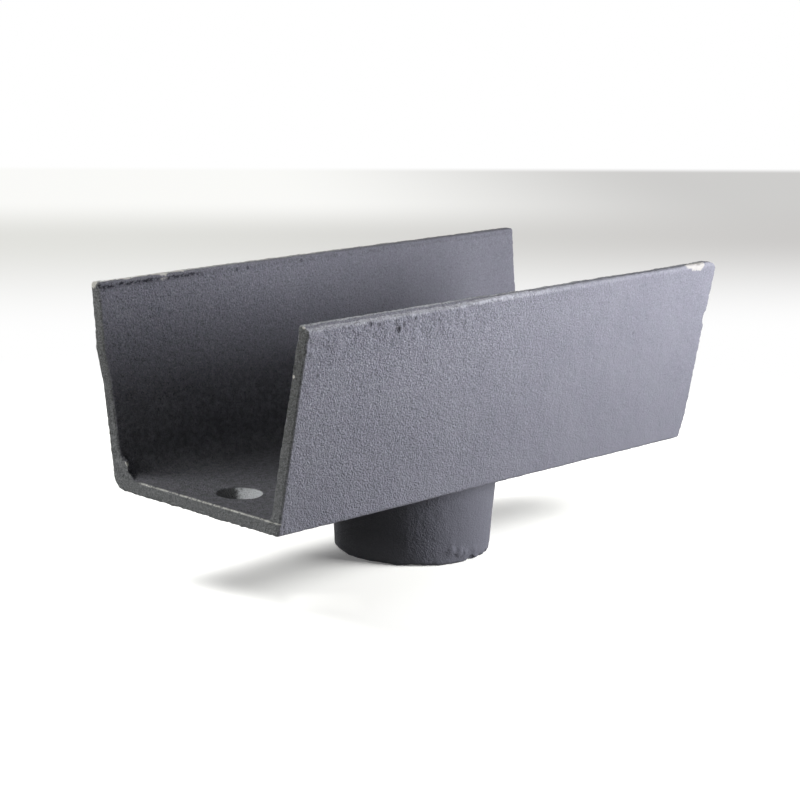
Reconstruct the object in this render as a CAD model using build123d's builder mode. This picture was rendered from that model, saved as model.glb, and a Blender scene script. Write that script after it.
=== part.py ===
from build123d import *
import os

# A cast iron running outlet for a box gutter: a short length of trough, open at both ends, with a
# spigot under its middle for the downpipe. Sizes are in millimetres.
# The origin is on the spigot's axis at its bottom face. X runs along the trough, +Y points to the
# back wall and +Z points up.

# Trough, measured over the metal
trough_length = 226.0
trough_height = 75.0
mouth_width = 114.0
base_width = 87.0

# Metal of the trough. The walls are measured level, and thin out towards the lip.
floor_thickness = 5.0
wall_at_floor = 5.3
wall_at_lip = 4.9

# Rounded edges of the trough's section, and the eased edges of its open ends
front_inner_round = 2.0
front_outer_round = 1.5
back_inner_round = 10.0
back_outer_round = 6.0
lip_round = 1.2
end_ease = 0.7

# The back wall left the mould bowed: it bulges outwards some way below the lip
bulge_below_lip = 25.5
bulge_run = 10.5
bulge_depth = 1.6
bulge_round = 45.0

# Spigot, with the draft that lets it leave the sand
spigot_height = 33.5
spigot_root_radius = 32.5
spigot_tip_radius = 30.0
spigot_tip_round = 1.5
spigot_root_round = 2.5

# Cored waterway through the floor and the spigot
bore_radius = 26.0
bore_tip_ease = 0.8
bore_lead_in = 3.0

# Countersunk bolt holes in the floor, one near each end, for the joints with the next lengths
bolt_hole_radius = 4.0
countersink_radius = 8.5
countersink_angle = 110.0
bolt_hole_from_end = 17.6
bolt_hole_off_centre = -4.8

# Damage at the far end of the front wall: the lip's corner is worn round, and the edge is nicked
worn_corner = 5.0
nick_below_lip = 23.5
nick_height = 7.0
nick_depth = 2.0

underside = spigot_height
mid_floor = underside + floor_thickness / 2
floor_top = underside + floor_thickness
lip_top = underside + trough_height
half_length = trough_length / 2
half_mouth = mouth_width / 2
half_base = base_width / 2
nick_radius = (nick_depth**2 + (nick_height / 2) ** 2) / (2 * nick_depth)


def outer_reach(height):
    """How far a straight outer wall stands from the middle, at a height above the underside."""
    return half_base + (half_mouth - half_base) * height / trough_height


def wall_thickness(height):
    """The level thickness of a wall at a height above the underside."""
    share = (height - floor_thickness) / (trough_height - floor_thickness)
    return wall_at_floor + (wall_at_lip - wall_at_floor) * share


def inner_reach(height):
    """How far a straight inner wall stands from the middle, at a height above the underside."""
    return outer_reach(height) - wall_thickness(height)


# The bow leaves the straight wall at its foot, and stands proudest of it at the bulge
bulge_height = trough_height - bulge_below_lip
bow_foot_height = bulge_height - bulge_run

# Corners of the section with their rounds, out round the back wall and back inside the trough.
# In the section's plane, the first number is Y and the second is the height above the underside.
section_corners = [
    ((-half_mouth, trough_height), lip_round),
    ((-half_base, 0), front_outer_round),
    ((half_base, 0), back_outer_round),
    ((outer_reach(bow_foot_height), bow_foot_height), bulge_round),
    ((outer_reach(bulge_height) + bulge_depth, bulge_height), bulge_round),
    ((half_mouth, trough_height), lip_round),
    ((inner_reach(trough_height), trough_height), lip_round),
    ((inner_reach(bulge_height) + bulge_depth, bulge_height), bulge_round),
    ((inner_reach(bow_foot_height), bow_foot_height), bulge_round),
    ((inner_reach(floor_thickness), floor_thickness), back_inner_round),
    ((-inner_reach(floor_thickness), floor_thickness), front_inner_round),
    ((-inner_reach(trough_height), trough_height), lip_round),
]
near_end = Plane(origin=(-half_length, 0, underside), x_dir=(0, 1, 0), z_dir=(1, 0, 0))

with BuildPart() as outlet:
    # Trough: one drafted section, drawn out from the near end to the far end
    with BuildSketch(near_end) as section:
        with BuildLine():
            FilletPolyline(
                *[corner for corner, round_ in section_corners],
                radius=[round_ for corner, round_ in section_corners],
                close=True,
            )
        make_face()
    extrude(amount=trough_length)
    open_ends = outlet.faces().filter_by(Axis.X)
    chamfer(open_ends.edges(), length=end_ease)

    # Spigot: a tapered plug that reaches up into the floor, so that the two are one piece
    with BuildSketch(Plane.XZ) as spigot_side:
        with BuildLine():
            FilletPolyline(
                (0, 0),
                (spigot_tip_radius, 0),
                (spigot_root_radius, underside),
                (spigot_root_radius + spigot_root_round, underside),
                (spigot_root_radius + spigot_root_round, mid_floor),
                (0, mid_floor),
                radius=[0, spigot_tip_round, spigot_root_round, 0, 0, 0],
                close=True,
            )
        make_face()
    revolve(axis=Axis.Z)

    # Waterway: a straight cored bore, eased at the tip and opened by a rounded lead-in at the floor
    with BuildSketch(Plane.XZ) as bore_side:
        with BuildLine():
            Polyline(
                (bore_radius + bore_lead_in, floor_top),
                (bore_radius + bore_lead_in, lip_top),
                (0, lip_top),
                (0, 0),
                (bore_radius + bore_tip_ease, 0),
                (bore_radius, bore_tip_ease),
                (bore_radius, floor_top - bore_lead_in),
            )
            CenterArc(
                (bore_radius + bore_lead_in, floor_top - bore_lead_in),
                bore_lead_in,
                90,
                90,
            )
        make_face()
    revolve(axis=Axis.Z, mode=Mode.SUBTRACT)

    # Bolt holes, sunk from inside the trough
    bolt_hole_x = half_length - bolt_hole_from_end
    with Locations(
        (-bolt_hole_x, bolt_hole_off_centre, floor_top),
        (bolt_hole_x, bolt_hole_off_centre, floor_top),
    ):
        CounterSinkHole(
            radius=bolt_hole_radius,
            counter_sink_radius=countersink_radius,
            counter_sink_angle=countersink_angle,
        )

    # Damage, cut across the front wall at the far end
    with BuildSketch(Plane.XZ) as damage_side:
        with Locations((half_length, lip_top)):
            Rectangle(2 * worn_corner, 2 * worn_corner)
        with Locations((half_length - worn_corner, lip_top - worn_corner)):
            Circle(worn_corner, mode=Mode.SUBTRACT)
        with Locations((half_length + nick_radius - nick_depth, lip_top - nick_below_lip)):
            Circle(nick_radius)
    extrude(amount=half_mouth, mode=Mode.SUBTRACT)

outlet.part.label = "outlet_casting"
os.makedirs("parts", exist_ok=True)
export_step(outlet.part, "parts/outlet_casting.step")
print(f"volume {outlet.part.volume / 1000:.1f} cm3")
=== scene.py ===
import math

import bmesh
import bpy
from mathutils import Matrix, Vector, noise


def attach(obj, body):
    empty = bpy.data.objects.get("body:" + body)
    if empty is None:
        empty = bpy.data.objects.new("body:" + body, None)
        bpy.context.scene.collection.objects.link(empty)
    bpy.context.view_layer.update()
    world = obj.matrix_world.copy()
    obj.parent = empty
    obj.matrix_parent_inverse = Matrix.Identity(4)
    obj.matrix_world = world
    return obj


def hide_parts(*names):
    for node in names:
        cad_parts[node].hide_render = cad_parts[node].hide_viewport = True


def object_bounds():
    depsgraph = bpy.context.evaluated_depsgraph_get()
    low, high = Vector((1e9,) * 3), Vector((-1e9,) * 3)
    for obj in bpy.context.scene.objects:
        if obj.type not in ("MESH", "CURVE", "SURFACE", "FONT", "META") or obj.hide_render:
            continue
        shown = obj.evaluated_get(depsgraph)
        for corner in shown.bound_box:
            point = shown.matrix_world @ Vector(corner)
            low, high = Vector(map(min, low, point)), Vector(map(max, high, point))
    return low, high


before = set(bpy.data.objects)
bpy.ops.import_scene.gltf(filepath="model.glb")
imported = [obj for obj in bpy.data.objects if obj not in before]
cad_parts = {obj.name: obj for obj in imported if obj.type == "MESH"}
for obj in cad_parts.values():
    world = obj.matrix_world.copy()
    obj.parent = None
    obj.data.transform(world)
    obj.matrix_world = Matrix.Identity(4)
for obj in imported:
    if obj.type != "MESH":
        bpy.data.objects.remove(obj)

# A grey primed gutter outlet, sand cast in iron. The CAD casting is copied, refined and given the
# skin that the mould leaves, ragged edges and the knocks of handling.
# Places and sizes are written in millimetres, in the CAD's frame, and MM turns them into Blender's
# metres. X runs from the trough's near end to its far end, Y from the front wall to the back wall,
# and Z up.
MM = 0.001
cad_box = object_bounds()
CAD_LOW, CAD_HIGH = cad_box

# Where the trough's faces lie
NEAR_END = CAD_LOW.x / MM
FAR_END = CAD_HIGH.x / MM
LIP_TOP = CAD_HIGH.z / MM
UNDERSIDE = 33.5
FLOOR_TOP = 38.5

# The bolt holes' centres, and the radius within which the primer is gone
BOLT_HOLES = [Vector((-95.4, -4.8, 0)), Vector((95.4, -4.8, 0))]
BARE_RADIUS = 8.6


# ---- The casting's form ----

# The copy is redrawn on a grid of this many halvings, which it fills to this share, before its
# marks are made. Then it is thinned to this many triangles, and edges sharper than the angle stay
# crisp. Points of the CAD mesh closer than MERGE_WITHIN are one.
GRID_HALVINGS = 9
GRID_FILL = 0.9
SKIN_TRIANGLES = 190000
CRISP_EDGE = math.radians(32)
MERGE_WITHIN = 0.001

# Chips out of the lips, the ends and the foot: the centre of a round tool that takes them out, its
# radius, and how ragged its cut is
CHIPS = [
    (Vector((98.6, -60.2, 109.6)), 3.6, 0.6),
    (Vector((-115.0, 56.4, 110.6)), 3.2, 0.4),
    (Vector((-98.5, 53.2, 111.2)), 3.1, 0.5),
    (Vector((-81.0, 52.6, 111.6)), 3.6, 0.6),
    (Vector((-71.0, 53.0, 111.2)), 3.2, 0.5),
    (Vector((-113.2, -46.2, 75.2)), 0.9, 0.3),
    (Vector((-114.6, 52.8, 79.6)), 1.9, 0.3),
    (Vector((-113.1, 38.9, 46.8)), 0.9, 0.4),
    (Vector((-113.2, 35.4, 45.2)), 1.1, 0.5),
    (Vector((-113.0, 33.3, 41.4)), 1.3, 0.5),
    (Vector((-113.3, 29.4, 40.2)), 1.1, 0.4),
    (Vector((-3.6, -31.0, 0.8)), 1.4, 0.5),
    (Vector((1.6, -30.7, -0.2)), 2.6, 0.7),
    (Vector((7.4, -29.8, -0.4)), 2.3, 0.6),
    (Vector((12.4, -28.2, -0.2)), 2.2, 0.6),
]

# Pits that loose sand left in the faces, in the same terms
PITS = [
    (Vector((-83.4, -57.0, 105.9)), 1.2, 0.3),
    (Vector((-79.2, -56.8, 105.1)), 1.0, 0.3),
    (Vector((-69.1, -56.2, 101.9)), 1.3, 0.4),
    (Vector((-66.4, -56.6, 103.6)), 1.1, 0.3),
    (Vector((-61.0, -56.9, 105.2)), 0.9, 0.3),
    (Vector((-100.4, -54.9, 93.6)), 0.9, 0.3),
    (Vector((-105.6, -54.3, 90.4)), 1.0, 0.3),
    (Vector((-88.0, -53.6, 86.5)), 0.8, 0.3),
    (Vector((66.3, -53.0, 83.6)), 0.8, 0.2),
    (Vector((-99.8, 49.2, 95.7)), 1.1, 0.3),
    (Vector((-97.8, 47.0, 84.5)), 1.2, 0.3),
    (Vector((-102.5, 47.1, 84.7)), 1.3, 0.3),
    (Vector((-64.5, 47.8, 87.9)), 1.1, 0.3),
    (Vector((-57.1, 46.4, 80.3)), 1.2, 0.3),
    (Vector((-36.2, 47.2, 84.6)), 1.1, 0.3),
    (Vector((-46.0, 51.9, 106.6)), 0.8, 0.5),
    (Vector((-40.5, 51.9, 106.8)), 0.7, 0.5),
    (Vector((-12.0, 51.9, 106.8)), 0.8, 0.5),
]

# Beads of metal that ran into the sand, above the foot's chips and in the near end's inner corner:
# centre, radius and height
BEADS = [
    (Vector((-9.0, -29.0, 5.6)), 2.6, 0.5),
    (Vector((-5.4, -30.0, 4.3)), 2.4, 0.7),
    (Vector((-2.6, -30.4, 3.9)), 2.0, 0.6),
    (Vector((2.8, -30.2, 4.1)), 2.2, 0.4),
    (Vector((-113.0, 38.4, 42.6)), 4.2, 3.0),
    (Vector((-113.0, 35.4, 40.2)), 2.6, 1.2),
]

# The slope worn on the front lip: where it begins across the lip, and how far down it can reach
SLOPE_INSIDE = -53.4
SLOPE_FOOT = 104.0


def clamp(value, low=0.0, high=1.0):
    return max(low, min(high, value))


def fade(value, start, end):
    """0 before start, 1 past end, and a smooth turn between them."""
    share = clamp((value - start) / (end - start))
    return share * share * (3 - 2 * share)


def grain(point, size, shift=0.0):
    """Smooth random numbers between about -1 and 1, with bumps of about that size."""
    return noise.noise(Vector((point.x / size + shift, point.y / size, point.z / size)))


def end_closeness(x):
    """1 on the trough's open ends, down to 0 a few millimetres inside them."""
    return 1 - fade(min(x - NEAR_END, FAR_END - x), 0.0, 3.5)


def lip_closeness(z):
    """1 on the lips, down to 0 a few millimetres below them."""
    return 1 - fade(LIP_TOP - z, 0.0, 3.0)


def mould_skin(point):
    """How proud the mould left the skin: slow swells, lumps, sand, ragged edges and a rough rim
    round the spigot's foot. The spigot's sand is half as deep."""
    swell = 0.14 * grain(point, size=30.0)
    lumps = 0.13 * grain(point, size=6.5, shift=3.1)
    sand_depth = 0.1 - 0.05 * (1 - fade(point.z, 28.0, 33.0))
    sand = sand_depth * grain(point, size=2.0, shift=7.7)
    edge = max(end_closeness(point.x), lip_closeness(point.z))
    tears = 0.14 * grain(point, size=5.5, shift=11.0) + 0.26 * grain(point, size=1.7, shift=5.0)
    ragged = edge * (tears - 0.03)
    foot = 1 - fade(point.z, 0.5, 4.0)
    ripples = 0.4 * grain(point, size=6.0, shift=2.0) + 0.2 * grain(point, size=2.4, shift=9.0)
    rim = foot * (ripples - 0.1)
    return swell + lumps + sand + ragged + rim


def crumbled_front(point):
    """How proud the wrinkles stand under the lip of the front wall's near half."""
    near_front = fade(-point.y, 50.0, 54.0) * fade(-point.x, -10.0, 50.0)
    below_lip = fade(point.z, 92.0, 101.0) * (1 - fade(point.z, 106.8, 107.6))
    wrinkles = 0.55 * grain(point, size=3.4, shift=6.0) + 0.3 * grain(point, size=1.6, shift=1.0)
    return near_front * below_lip * wrinkles


def crumbled_back(point):
    """How proud the skin stands in the groove inside the back wall, under its near lip."""
    inside_back = fade(point.y, 44.0, 47.0) * (1 - fade(point.y, 52.6, 53.4))
    near_lip = 1 - fade(point.x, -72.0, -64.0)
    groove_height = LIP_TOP - 1.9 + 0.5 * grain(point, size=4.0, shift=8.0)
    groove = 1 - fade(abs(point.z - groove_height), 0.2, 0.8)
    return -0.75 * inside_back * near_lip * groove


def beads(point):
    """How proud the beads of run metal stand."""
    proud = 0.0
    for centre, radius, height in BEADS:
        distance = (point - centre).length
        if distance < 1.5 * radius:
            ragged = distance * (1 + 0.4 * grain(point, size=1.8, shift=2.0))
            proud = max(proud, height * (1 - fade(ragged, 0.2 * radius, radius)))
    return proud


def warp(point):
    """How far the casting was pulled out of true as it cooled: the back wall's far end leans in,
    the front lip sags and the front wall's foot is short at the far end."""
    back = fade(point.y, 20.0, 45.0)
    front = fade(-point.y, 30.0, 45.0)
    lean = -1.2 * back * fade(point.x, -30.0, FAR_END) * fade(point.z, UNDERSIDE, LIP_TOP)
    sag = -0.5 * front * fade(point.x, -60.0, 40.0) * fade(point.z, 60.0, LIP_TOP)
    short = -1.2 * front * fade(point.x, 108.0, FAR_END) * (1 - fade(point.z, 34.0, 46.0))
    return Vector((short, lean, sag))


def worn_lip(point):
    """The point, lowered where the front lip's outer edge is worn to a slope: steep from the near
    end to the middle, and slight beyond it."""
    if point.y > -52.0 or point.z < SLOPE_FOOT:
        return point
    wear = 1 - fade(point.x, -45.0, -12.0)
    slope = 0.12 + 0.36 * wear
    nibbles = 0.3 * grain(point, size=5.0, shift=4.0) + 0.15 * grain(point, size=1.8)
    ceiling = LIP_TOP - slope * (SLOPE_INSIDE - point.y) + wear * nibbles
    return Vector((point.x, point.y, min(point.z, max(ceiling, SLOPE_FOOT))))


def bitten(point):
    """The point, pushed into the metal where a chip or a pit takes it."""
    for centre, radius, raggedness in CHIPS + PITS:
        offset = point - centre
        reach = radius + raggedness * grain(point, size=1.6, shift=4.0)
        if offset.length < reach:
            point = centre + offset.normalized() * reach
    return point


def keep_in_box(mesh):
    """Holds every vertex inside the box of the CAD casting."""
    for vertex in mesh.vertices:
        for axis in range(3):
            vertex.co[axis] = clamp(vertex.co[axis], CAD_LOW[axis], CAD_HIGH[axis])


def worked_in(piece):
    """Makes the piece's modifiers part of its mesh."""
    bpy.context.view_layer.update()
    drawn = piece.evaluated_get(bpy.context.evaluated_depsgraph_get())
    mesh = bpy.data.meshes.new_from_object(drawn)
    piece.modifiers.clear()
    piece.data = mesh


def whole_copy(node):
    """A copy of the CAD casting whose triangles are joined up."""
    mesh = node.data.copy()
    solid = bmesh.new()
    solid.from_mesh(mesh)
    bmesh.ops.remove_doubles(solid, verts=solid.verts, dist=MERGE_WITHIN * MM)
    solid.to_mesh(mesh)
    solid.free()
    piece = bpy.data.objects.new("cast_skin", mesh)
    bpy.context.scene.collection.objects.link(piece)
    return piece


def cast_skin(node):
    """A copy of the CAD casting that carries the marks of the mould and of handling."""
    piece = whole_copy(node)
    refine = piece.modifiers.new("refine", "REMESH")
    refine.mode = "SHARP"
    refine.octree_depth = GRID_HALVINGS
    refine.scale = GRID_FILL
    refine.use_remove_disconnected = False
    worked_in(piece)

    normals = [corner.vector.copy() for corner in piece.data.vertex_normals]
    for vertex, normal in zip(piece.data.vertices, normals):
        point = vertex.co / MM
        proud = mould_skin(point) + crumbled_front(point) + crumbled_back(point) + beads(point)
        point += normal * proud + warp(point)
        vertex.co = bitten(worn_lip(point)) * MM
    keep_in_box(piece.data)

    piece.data.calc_loop_triangles()
    thin = piece.modifiers.new("thin", "DECIMATE")
    thin.ratio = SKIN_TRIANGLES / len(piece.data.loop_triangles)
    worked_in(piece)
    keep_in_box(piece.data)
    piece.data.shade_smooth()
    piece.data.set_sharp_from_angle(angle=CRISP_EDGE)
    piece.name = piece.data.name = "cast_skin"
    return piece


# ---- Wiring of finishes ----

WHITE = (1, 1, 1, 1)


class Wiring:
    """Shader nodes of a material or of the world. add() makes a node and feeds its inputs, which
    are called by name, or by number as _0, _1 and so on."""

    def __init__(self, holder, output):
        holder.use_nodes = True
        self.holder = holder
        self.tree = holder.node_tree
        self.tree.nodes.clear()
        self.output = self.tree.nodes.new(output)

    def add(self, kind, settings=None, **inputs):
        node = self.tree.nodes.new(kind)
        for name, value in (settings or {}).items():
            setattr(node, name, value)
        for name, value in inputs.items():
            self.feed(node, name, value)
        return node

    def feed(self, node, name, value):
        numbered = name[0] == "_"
        socket = node.inputs[int(name[1:])] if numbered else node.inputs[name.replace("_", " ")]
        if isinstance(value, bpy.types.NodeSocket):
            self.tree.links.new(value, socket)
        else:
            socket.default_value = value

    def maths(self, operation, *values):
        inputs = {f"_{index}": value for index, value in enumerate(values)}
        return self.add("ShaderNodeMath", {"operation": operation}, **inputs).outputs[0]

    def plus(self, total, *others):
        for other in others:
            total = self.maths("ADD", total, other)
        return total

    def times(self, product, *others):
        """The values multiplied. Where they are masks, this is where all of them hold."""
        for other in others:
            product = self.maths("MULTIPLY", product, other)
        return product

    def largest(self, most, *others):
        """The largest of the values. Where they are masks, this is where any of them holds."""
        for other in others:
            most = self.maths("MAXIMUM", most, other)
        return most

    def gap(self, first, second):
        """How far apart two values are."""
        return self.maths("ABSOLUTE", self.maths("SUBTRACT", first, second))

    def ramp(self, value, low, high, low_to=0.0, high_to=1.0):
        """The value, with low to high stretched smoothly to low_to to high_to."""
        settings = {"interpolation_type": "SMOOTHSTEP"}
        ends = {"_1": low, "_2": high, "_3": low_to, "_4": high_to}
        return self.add("ShaderNodeMapRange", settings, _0=value, **ends).outputs[0]

    def mix(self, share, first, second):
        """first where share is 0, second where it is 1."""
        colours = {"_0": share, "_6": first, "_7": second}
        return self.add("ShaderNodeMix", {"data_type": "RGBA"}, **colours).outputs[2]

    def vector(self, operation, *values, **named):
        inputs = {f"_{index}": value for index, value in enumerate(values)}
        return self.add("ShaderNodeVectorMath", {"operation": operation}, **inputs, **named).outputs

    def lightened(self, colour, share):
        """The colour, made lighter by a share of itself, or darker where the share is below 0."""
        return self.vector("SCALE", colour, Scale=self.plus(share, 1.0))[0]

    def choose(self, share, first, second):
        """The first shader where share is 0, the second where it is 1."""
        return self.add("ShaderNodeMixShader", _0=share, _1=first, _2=second).outputs[0]

    def seen(self):
        """1 for what the camera sees, straight or in a gloss, and 0 for light on the object."""
        path = self.add("ShaderNodeLightPath").outputs
        return self.largest(
            path["Is Glossy Ray"], path["Is Transmission Ray"], path["Is Camera Ray"]
        )

    def done(self, shader):
        self.tree.links.new(shader, self.output.inputs["Surface"])
        return self.holder


class Finish(Wiring):
    """A material that reads where its surface is, in millimetres."""

    def __init__(self, name):
        super().__init__(bpy.data.materials.new(name), "ShaderNodeOutputMaterial")
        metres = self.add("ShaderNodeTexCoord").outputs["Object"]
        self.place = self.vector("SCALE", metres, Scale=1 / MM)[0]
        self.along, self.across, self.up = self.add("ShaderNodeSeparateXYZ", _0=self.place).outputs

    def cloud(self, size, detail=3.0, roughness=0.5, shift=0.0):
        """Random clouds between 0 and 1 whose blots are about that size. Clouds that differ in
        shift are unlike each other."""
        place = self.vector("ADD", self.place, (shift, shift, shift))[0]
        shape = {"Scale": 1 / size, "Detail": detail, "Roughness": roughness}
        return self.add("ShaderNodeTexNoise", Vector=place, **shape).outputs["Fac"]

    def distance(self, place, centre):
        return self.vector("DISTANCE", place, centre)["Value"]


# ---- The primed iron ----

# Where the primer is knocked off and bright metal shows: centre and radius
BARE_SPOTS = [
    (Vector((95.6, -57.0, 109.6)), 4.2),
    (Vector((98.6, -57.0, 108.8)), 4.6),
    (Vector((102.0, -57.0, 108.4)), 4.6),
    (Vector((-112.6, 55.6, 108.2)), 3.0),
    (Vector((-98.4, 55.4, 108.4)), 3.0),
    (Vector((-90.6, 56.0, 108.2)), 2.6),
    (Vector((-82.0, 55.6, 108.2)), 5.0),
    (Vector((-72.4, 55.6, 108.2)), 3.2),
    (Vector((-113.0, -54.6, 108.2)), 1.2),
    (Vector((-113.0, -49.9, 90.6)), 0.9),
    (Vector((-113.0, 36.2, 44.6)), 1.7),
    (Vector((-113.0, 30.6, 40.6)), 1.3),
]

PRIMER = (0.19, 0.193, 0.214, 1)
PALE_PRIMER = (0.206, 0.209, 0.229, 1)
VIOLET_PRIMER = (0.208, 0.2, 0.23, 1)
# Painted shade: the spigot's coat made darker for the shade under the trough
SPIGOT_PAINTED_SHADE = (0.14, 0.142, 0.159, 1)
LIGHT_SPECK = (0.32, 0.325, 0.35, 1)
DARK_SPECK = (0.09, 0.092, 0.1, 1)
PORE = (0.05, 0.05, 0.06, 1)
# Painted shade on the inner floor, away from the open near end
INNER_FLOOR_SHADE = (0.06, 0.061, 0.066, 1)
# Painted shade in the pits and the groove under the back lip
PIT_AND_GROOVE_SHADE = (0.03, 0.03, 0.034, 1)

# The sawn end's scratched face, dark and light, high up on the walls and down at the floor. The
# floor's pair is lighter: painted light, for light thrown up from the table
SAWN_WALL = (0.142, 0.146, 0.147, 1), (0.21, 0.215, 0.216, 1)
SAWN_FLOOR_BOUNCE_LIT = (0.19, 0.197, 0.207, 1), (0.29, 0.297, 0.306, 1)

# Painted highlights on edges over worn coat, the holes' metal with painted reflection and shade,
# and metal
OUTER_EDGE_HIGHLIGHT = (0.4, 0.405, 0.42, 1)
INNER_EDGE_HIGHLIGHT = (0.38, 0.39, 0.39, 1)
FLOOR_EDGE_HIGHLIGHT = (0.72, 0.72, 0.69, 1)
BACK_LIP_WEAR_AND_HIGHLIGHT = (0.5, 0.5, 0.48, 1)
RUBBED_BACK_LIP = (0.86, 0.85, 0.81, 1)
HOLE_SHADE = (0.1, 0.104, 0.108, 1)
HOLE_METAL_WITH_GLINT = (0.71, 0.73, 0.765, 1)
BARE_METAL = (0.84, 0.82, 0.77, 1)
DULL_METAL = (0.52, 0.505, 0.46, 1)

# How matt the coat is, and how deep the sand's print in it is
ROUGHNESS = 0.7
GLOSS = 0.06
PRINT_DEPTH = 2.4


def primer(paint):
    """The cool grey coat, faintly clouded."""
    blots = paint.ramp(paint.cloud(24), 0.3, 0.7)
    tints = paint.ramp(paint.cloud(5, detail=2.0, shift=900), 0.35, 0.65)
    return paint.mix(
        paint.times(tints, 0.35), paint.mix(blots, PRIMER, PALE_PRIMER), VIOLET_PRIMER
    )


def sawn(paint):
    """Where the near end's sawn face is."""
    return paint.ramp(paint.along, NEAR_END + 0.6, NEAR_END + 0.3)


def on_sawn_end(paint, coat):
    """The sawn face takes the coat badly, in scratches, and is lighter low down: painted light, for
    light thrown up from the table.
    """
    scratches = paint.ramp(paint.cloud(1.0, roughness=0.7, shift=500), 0.35, 0.65)
    # Painted light: lighter towards the floor, for light thrown up from the table
    low = paint.ramp(paint.up, 84, 38)
    shades = [paint.mix(low, wall, floor) for wall, floor in zip(SAWN_WALL, SAWN_FLOOR_BOUNCE_LIT)]
    return paint.mix(sawn(paint), coat, paint.mix(scratches, *shades))


def on_spigot(paint, coat):
    """The spigot is darker: painted shade, for the shade under the trough."""
    below = paint.ramp(paint.up, 32, 26)
    return paint.mix(paint.times(below, 0.8), coat, SPIGOT_PAINTED_SHADE)


def on_lips(paint, coat, wear):
    """Painted highlights along both edges of the front lip, and on the back lip's worn top."""
    patchy = paint.ramp(wear, 0.35, 0.55, 0.35, 1.0)
    waver = paint.times(paint.cloud(4, roughness=0.7, shift=350), 2.4)
    # Painted highlight along the front lip's outer edge, broken up in patches
    outer_edge_highlight = paint.times(
        paint.ramp(paint.across, -55.0, -55.6),
        paint.ramp(paint.plus(paint.up, waver), 107.0, 108.4),
        paint.ramp(paint.along, 40, -20, 0.25, 1.0),
        patchy,
    )
    coat = paint.mix(outer_edge_highlight, coat, OUTER_EDGE_HIGHLIGHT)
    # Painted highlight along the front lip's inner edge
    inner_edge_highlight = paint.times(
        paint.ramp(paint.gap(paint.across, -53.3), 0.8, 0.3),
        paint.ramp(paint.up, 107.6, 108.0),
        patchy,
    )
    coat = paint.mix(inner_edge_highlight, coat, INNER_EDGE_HIGHLIGHT)
    # The back lip's top: worn coat, and partly a painted highlight
    back_lip = paint.times(
        paint.ramp(paint.across, 53.4, 54.8),
        paint.ramp(paint.up, 107.4, 108.1),
        patchy,
    )
    back_lip_tone = paint.mix(paint.ramp(paint.along, -55, -78), BACK_LIP_WEAR_AND_HIGHLIGHT, RUBBED_BACK_LIP)
    return paint.mix(back_lip, coat, back_lip_tone)


def on_floor_edge(paint, coat, wear):
    """A painted highlight along the inner edge of the floor's near end, in dashes."""
    # Painted highlight: the floor's near edge catching the light
    edge = paint.times(
        paint.ramp(paint.along, NEAR_END + 1.0, NEAR_END + 0.5),
        paint.ramp(paint.gap(paint.up, FLOOR_TOP - 0.25), 0.38, 0.12),
        paint.ramp(wear, 0.38, 0.5, 0.1, 1.0),
        paint.ramp(paint.across, 31, 29),
    )
    return paint.mix(edge, coat, FLOOR_EDGE_HIGHLIGHT)


def speckled(paint, coat):
    """Lighter and darker specks, strongest at the near end and faint on the spigot."""
    specks = paint.cloud(0.7, detail=2.0, roughness=0.7, shift=300)
    nearness = paint.ramp(paint.along, 60, -60, 0.3, 1.0)
    above_spigot = paint.ramp(paint.up, 30, 60, 0.15, 0.8)
    towards_lip = paint.ramp(paint.up, 60, 108, 0.0, 0.2)
    strength = paint.plus(paint.times(nearness, above_spigot), towards_lip)
    light = paint.times(strength, paint.ramp(specks, 0.5, 0.72, 0.0, 0.75))
    dark = paint.times(strength, paint.ramp(specks, 0.3, 0.48, 0.8, 0.0))
    return paint.mix(dark, paint.mix(light, coat, LIGHT_SPECK), DARK_SPECK)


def porous_back(paint, coat):
    """Pores in the back wall, most of them towards its near end."""
    pores = paint.times(
        paint.ramp(paint.cloud(1.5, detail=4.0, roughness=0.75, shift=450), 0.43, 0.33),
        paint.ramp(paint.across, 40, 44),
        paint.ramp(paint.along, -20, -90, 0.3, 1.0),
        0.7,
    )
    return paint.mix(pores, coat, PORE)


def walls_with_painted_light(paint, coat):
    """Painted light: the coat is lighter on the front wall, more so near its lip and its near end,
    and at the top of the back wall's near half, for light that falls there."""
    front = paint.times(
        paint.ramp(paint.across, -40, -43), paint.maths("SUBTRACT", 1.0, sawn(paint))
    )
    nearness = paint.ramp(paint.along, 100, NEAR_END, 0.0, 0.37)
    highness = paint.ramp(paint.up, 40, 108, 0.0, 0.22)
    back = paint.times(
        paint.ramp(paint.across, 40, 45),
        paint.ramp(paint.up, 75, 105, 0.0, 0.28),
        paint.ramp(paint.along, 60, -40),
    )
    # Painted light on the front wall and on the back wall's top
    front_light = paint.times(front, paint.plus(nearness, highness))
    return paint.lightened(coat, paint.plus(front_light, back))


def shade_pits_and_groove(paint, coat, wear):
    """Painted shade in the pits, and in the crumbled groove under the back wall's near lip."""
    pits = paint.largest(
        *[
            paint.ramp(paint.distance(paint.place, centre), 1.25 * radius, 0.7 * radius)
            for centre, radius, raggedness in PITS
        ]
    )
    waver = paint.times(paint.cloud(4, detail=2.0, shift=400), 2.2)
    groove = paint.times(
        paint.ramp(paint.across, 48, 50),
        paint.ramp(paint.across, 54, 53),
        paint.ramp(paint.along, -60, -70, 0.25, 1.0),
        paint.ramp(paint.gap(paint.plus(paint.up, waver), LIP_TOP - 0.4), 1.0, 0.3),
        paint.ramp(wear, 0.42, 0.58, 0.1, 1.0),
    )
    # Painted shade, darkest in the groove
    painted_shade = paint.largest(paint.times(pits, 0.55), paint.times(groove, 0.85))
    return paint.mix(painted_shade, coat, PIT_AND_GROOVE_SHADE)


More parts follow.
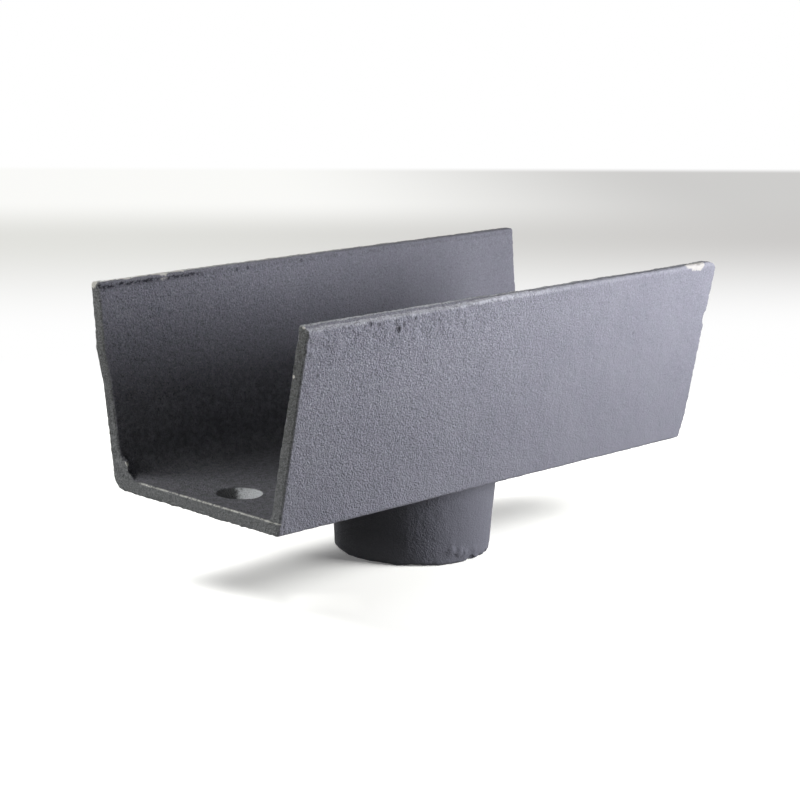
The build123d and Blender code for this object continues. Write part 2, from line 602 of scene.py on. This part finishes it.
def floor_shade_and_mottling(paint, coat):
    """Inside, the floor is darker away from its near end: painted shade, where less light reaches.
    Low down, the coat is mottled on the floor and on both sides of the back wall."""
    behind_front = paint.times(
        paint.ramp(paint.across, -42.0, -40.5),
        paint.ramp(paint.up, FLOOR_TOP - 2.0, FLOOR_TOP - 0.2),
    )
    # Painted shade on the inner floor, away from the open near end
    floor_shade = paint.times(
        behind_front,
        paint.ramp(paint.across, 42.0, 40.5),
        paint.ramp(paint.up, 44, 40),
        paint.ramp(paint.along, -88, -50),
        0.5,
    )
    blots = paint.cloud(2.2, detail=4.0, roughness=0.7, shift=800)
    mottling = paint.times(
        behind_front, paint.ramp(paint.up, 85, 55), paint.ramp(blots, 0.32, 0.68, -0.24, 0.24)
    )
    return paint.lightened(paint.mix(floor_shade, coat, INNER_FLOOR_SHADE), mottling)


def in_bolt_holes(paint, coat):
    """The sunk holes are bare metal with a painted reflection, light on their far side, and painted
    shade on their near side.
    """
    level_place = paint.vector("MULTIPLY", paint.place, (1, 1, 0))[0]
    blots = paint.cloud(1.6, roughness=0.7, shift=600)
    streaks = paint.times(paint.maths("SUBTRACT", blots, 0.5), 0.9)
    in_floor = paint.times(
        paint.ramp(paint.up, FLOOR_TOP - 0.05, FLOOR_TOP - 0.4),
        paint.ramp(paint.up, UNDERSIDE + 0.5, UNDERSIDE + 1.0),
    )
    for centre in BOLT_HOLES:
        distance = paint.distance(level_place, centre)
        hole = paint.times(in_floor, paint.ramp(distance, BARE_RADIUS + 0.3, BARE_RADIUS - 0.3))
        farness = paint.maths("SUBTRACT", paint.along, centre.x)
        bearing = paint.maths("DIVIDE", farness, distance)
        # Painted reflection and shade: the bare metal lighter on the far side, darker on the near
        # side
        scraped = paint.ramp(paint.plus(bearing, streaks), 0.35, 0.8)
        coat = paint.mix(hole, coat, paint.mix(scraped, HOLE_SHADE, HOLE_METAL_WITH_GLINT))
    return coat


def knocked_bare(paint, coat, wear):
    """Bare metal where the casting was knocked, duller at the far end."""
    spots = paint.largest(
        *[
            paint.ramp(paint.distance(paint.place, centre), radius, 0.3 * radius)
            for centre, radius in BARE_SPOTS
        ]
    )
    bare = paint.ramp(paint.plus(spots, paint.times(wear, 0.9)), 0.65, 1.1)
    metal = paint.mix(paint.ramp(paint.along, 50, 90), BARE_METAL, DULL_METAL)
    return paint.mix(bare, coat, metal)


def sand_print(paint):
    """The sand's print, finer than the mesh can hold. It is shallower on the spigot and towards the
    far end."""
    fine = paint.cloud(0.62, detail=2.0, roughness=0.6)
    sand = paint.cloud(1.3, roughness=0.6, shift=100)
    pebbles = paint.cloud(3.2, detail=2.0, shift=700)
    height = paint.plus(
        paint.times(fine, 0.46), paint.times(sand, 0.28), paint.times(pebbles, 0.26)
    )
    depth = paint.times(
        paint.ramp(paint.along, NEAR_END, FAR_END, 1.0, 0.25),
        paint.ramp(paint.up, 28, 33, 0.45, 1.0),
    )
    bump = paint.add("ShaderNodeBump", Strength=depth, Distance=PRINT_DEPTH * MM, Height=height)
    return bump.outputs["Normal"]


def primed_iron():
    """Grey primer over a sand-cast skin, worn to bare metal where the casting was knocked."""
    paint = Finish("primed_iron")
    wear = paint.cloud(1.3, roughness=0.6, shift=200)
    coat = primer(paint)
    coat = on_sawn_end(paint, coat)
    coat = on_spigot(paint, coat)
    coat = on_lips(paint, coat, wear)
    coat = on_floor_edge(paint, coat, wear)
    coat = speckled(paint, coat)
    coat = porous_back(paint, coat)
    coat = walls_with_painted_light(paint, coat)
    coat = shade_pits_and_groove(paint, coat, wear)
    coat = floor_shade_and_mottling(paint, coat)
    coat = in_bolt_holes(paint, coat)
    coat = knocked_bare(paint, coat, wear)
    skin = paint.add(
        "ShaderNodeBsdfPrincipled",
        Base_Color=coat,
        Roughness=ROUGHNESS,
        Specular_IOR_Level=GLOSS,
        Normal=sand_print(paint),
    )
    return paint.done(skin.outputs["BSDF"])


# ---- Stage ----

# The camera that took the photograph, found by fitting the casting's corners: its place and its
# three directions, its lens and sensor, how far its picture is moved sideways, as a share of the
# width, and the nearest and farthest that it sees
CAMERA_PLACE = Vector((-630.17, -590.21, 249.85))
CAMERA_RIGHT = Vector((0.692435, -0.721095, 0.023561))
CAMERA_UP = Vector((0.140813, 0.167101, 0.975833))
CAMERA_BACK = Vector((-0.707605, -0.672383, 0.217246))
CAMERA_LENS = 103.35
CAMERA_SENSOR = 36.0
CAMERA_SHIFT = 0.001
CAMERA_NEAREST = 10
CAMERA_FARTHEST = 50000

# The point that the lamps are aimed at, and their two colours
LAMP_AIM = Vector((0, 0, 60))
COOL = (1.0, 1.0, 1.09)
PLAIN = (1.0, 1.0, 0.97)

# The table: how far it reaches, the level directions away from the camera and to its right, and
# the tones of the band and the strip behind the casting, from left to right
TABLE_REACH = 6000
AWAY = Vector((0.5978, 0.8016, 0))
RIGHTWARDS = Vector((0.8016, -0.5978, 0))
BAND = (0.76, 0.76, 0.73, 1), (0.6, 0.59, 0.58, 1)
STRIP = (0.96, 0.96, 0.94, 1), (0.615, 0.61, 0.6, 1)

# How far the paper's shadows are lifted, how much light it throws back on the casting, and the
# world's own light
SHADOW_LIFT = 0.14
PAPER_BOUNCE = (0.15, 0.15, 0.15, 1)
SKY_COLOUR = (0.95, 0.96, 1.0, 1)
SKY_STRENGTH = 0.01


def set_camera():
    camera = bpy.data.objects.new("camera", bpy.data.cameras.new("camera"))
    bpy.context.scene.collection.objects.link(camera)
    turn = Matrix((CAMERA_RIGHT, CAMERA_UP, CAMERA_BACK)).transposed()
    camera.matrix_world = Matrix.Translation(CAMERA_PLACE * MM) @ turn.to_4x4()
    camera.data.sensor_width = CAMERA_SENSOR
    camera.data.lens = CAMERA_LENS
    camera.data.shift_x = CAMERA_SHIFT
    camera.data.clip_start = CAMERA_NEAREST * MM
    camera.data.clip_end = CAMERA_FARTHEST * MM
    bpy.context.scene.camera = camera


def lamp(name, target, bearing, elevation, distance, size, power, colour):
    """A soft square lamp for one target. Bearing 0 is along +X and 90 along +Y, in degrees."""
    light = bpy.data.lights.new(name, "AREA")
    light.shape = "SQUARE"
    light.size = size * MM
    light.energy = power
    light.color = colour
    lit = bpy.data.objects.new(name, light)
    bpy.context.scene.collection.objects.link(lit)
    turn, lift = math.radians(bearing), math.radians(elevation)
    level = math.cos(lift)
    out = Vector((math.cos(turn) * level, math.sin(turn) * level, math.sin(lift)))
    lit.location = (LAMP_AIM + out * distance) * MM
    lit.rotation_euler = out.to_track_quat("Z", "Y").to_euler()
    lit.visible_camera = False
    lights_only = bpy.data.collections.new(name + "_lights")
    lights_only.objects.link(target)
    lit.light_linking.receiver_collection = lights_only


def table_paper():
    """White paper. Close by, it keeps the casting's shadow. Farther off, it has a grey band and
    then a strip, which both darken to the right, and beyond them it is white again."""
    paper = Finish("table_paper")
    away = paper.vector("DOT_PRODUCT", paper.place, AWAY)["Value"]
    side = paper.vector("DOT_PRODUCT", paper.place, RIGHTWARDS)["Value"]
    band = paper.mix(paper.ramp(side, -150, 500), *BAND)
    strip = paper.mix(paper.ramp(side, 50, 450), *STRIP)
    tone = paper.mix(paper.ramp(away, 800, 1000), band, strip)
    tone = paper.mix(paper.ramp(away, 1190, 1230), tone, WHITE)
    tone = paper.mix(paper.ramp(away, 420, 800), WHITE, tone)
    distant = paper.add("ShaderNodeEmission", Color=tone, Strength=1.0)

    lit = paper.add("ShaderNodeBsdfDiffuse", Color=WHITE)
    lift = paper.add("ShaderNodeEmission", Color=WHITE, Strength=SHADOW_LIFT)
    close = paper.add("ShaderNodeAddShader", _0=lit.outputs[0], _1=lift.outputs[0])
    reach = paper.vector("LENGTH", paper.place)["Value"]
    shown = paper.choose(paper.ramp(reach, 250, 400), close.outputs[0], distant.outputs[0])
    bounce = paper.add("ShaderNodeBsdfDiffuse", Color=PAPER_BOUNCE)
    return paper.done(paper.choose(paper.seen(), bounce.outputs[0], shown))


def lay_table():
    """The plain pale floor that the outlet stands on."""
    sheet = bmesh.new()
    bmesh.ops.create_grid(sheet, x_segments=1, y_segments=1, size=TABLE_REACH * MM)
    mesh = bpy.data.meshes.new("table")
    sheet.to_mesh(mesh)
    sheet.free()
    table = bpy.data.objects.new("table", mesh)
    bpy.context.scene.collection.objects.link(table)
    mesh.materials.append(table_paper())
    return table


def set_world():
    """White to look at, and dim as a light."""
    sky = Wiring(bpy.data.worlds.new("studio"), "ShaderNodeOutputWorld")
    dim = sky.add("ShaderNodeBackground", Color=SKY_COLOUR, Strength=SKY_STRENGTH)
    white = sky.add("ShaderNodeBackground", Color=WHITE, Strength=1.0)
    either = sky.choose(sky.seen(), dim.outputs[0], white.outputs[0])
    bpy.context.scene.world = sky.done(either)


# ---- The scene ----

casting = cast_skin(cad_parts["outlet_casting"])
casting.data.materials.clear()
casting.data.materials.append(primed_iron())
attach(casting, "root")
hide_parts("outlet_casting")

table = lay_table()
set_world()
# Each lamp's name, what it lights, bearing, elevation, distance, size, watts and colour
lamp("key", casting, -54, 12, 450, 150, 2.0, COOL)
lamp("front", casting, -68, 18, 500, 250, 0.7, COOL)
lamp("near_side", casting, 172, 20, 700, 250, 1.4, PLAIN)
lamp("near_back", casting, 135, 45, 750, 250, 1.75, PLAIN)
lamp("behind", casting, 75, 8, 900, 400, 2.0, PLAIN)
lamp("table_front", table, -55, 22, 700, 400, 10.5, PLAIN)
lamp("table_back", table, 135, 45, 750, 300, 7.7, PLAIN)
set_camera()
bpy.context.scene.view_settings.view_transform = "Standard"
